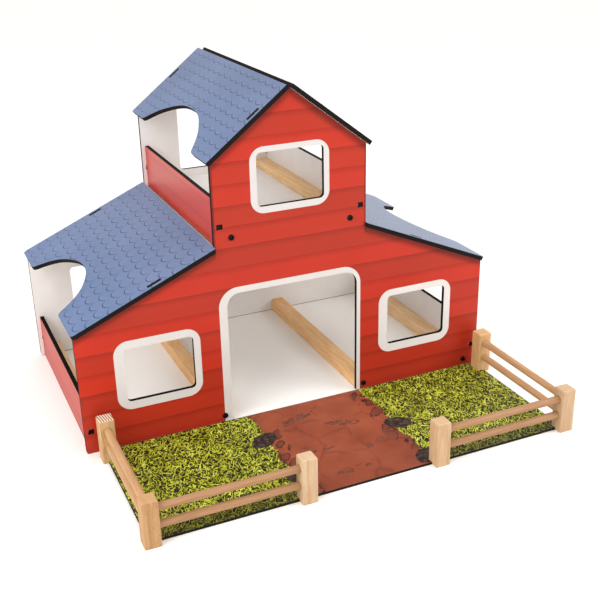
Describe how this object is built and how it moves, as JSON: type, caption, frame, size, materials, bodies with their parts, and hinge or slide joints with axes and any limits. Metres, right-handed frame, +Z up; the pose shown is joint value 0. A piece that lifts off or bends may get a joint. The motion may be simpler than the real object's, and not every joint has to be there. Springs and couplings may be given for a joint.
{
  "type": "toy barn with fenced yard",
  "caption": "Toy barn of printed board with an open doorway, a raised loft bay, windows, cut-out roofs and a loose fenced yard in front",
  "frame": {"origin": "on the surface that the toy stands on, in the middle of the barn and its yard together", "axes": "+X to the right across the barn's front, +Y from the yard in front towards the barn's back, +Z up"},
  "size_m": [0.6072, 0.561, 0.4529],
  "materials": {
    "red_board": "satin print of red boarding on fibreboard, white inside, dark cut edges",
    "roof_board": "satin blue-grey scale shingle print on fibreboard, white underside, dark cut edges",
    "white_board": "satin white laminate on fibreboard",
    "beam_timber": "planed, unvarnished",
    "post_timber": "planed, edges rounded, unvarnished",
    "dowel_timber": "turned, unvarnished",
    "black_steel": "black oxide, semi-gloss",
    "yard_print": "matt print of grass and an earth path on thin board"
  },
  "bodies": {
    "barn": {"back_panel": "red_board", "back_screws": "black_steel", "beam_inner_left": "beam_timber", "beam_inner_right": "beam_timber", "beam_outer_left": "beam_timber", "beam_outer_right": "beam_timber", "front_panel": "red_board", "front_screws": "black_steel", "left_wall": "red_board", "loft_beam_left": "beam_timber", "loft_beam_right": "beam_timber", "loft_floor": "white_board", "lower_left_roof": "roof_board", "lower_right_roof": "roof_board", "right_wall": "red_board", "tower_left_roof": "roof_board", "tower_left_wall": "red_board", "tower_right_roof": "roof_board", "tower_right_wall": "red_board"},
    "yard": {"post_back_left": "post_timber", "post_back_right": "post_timber", "post_front_left": "post_timber", "post_front_right": "post_timber", "post_gate_left": "post_timber", "post_gate_right": "post_timber", "rail_front_left_lower": "dowel_timber", "rail_front_left_upper": "dowel_timber", "rail_front_right_lower": "dowel_timber", "rail_front_right_upper": "dowel_timber", "rail_left_lower": "dowel_timber", "rail_left_upper": "dowel_timber", "rail_right_lower": "dowel_timber", "rail_right_upper": "dowel_timber", "yard_board": "yard_print"}
  },
  "joints": [
    {"name": "yard_slides_off", "type": "slide", "parent": "barn", "child": "yard", "axis": [0, -1, 0], "range_m": [0, 0.15]}
  ]
}
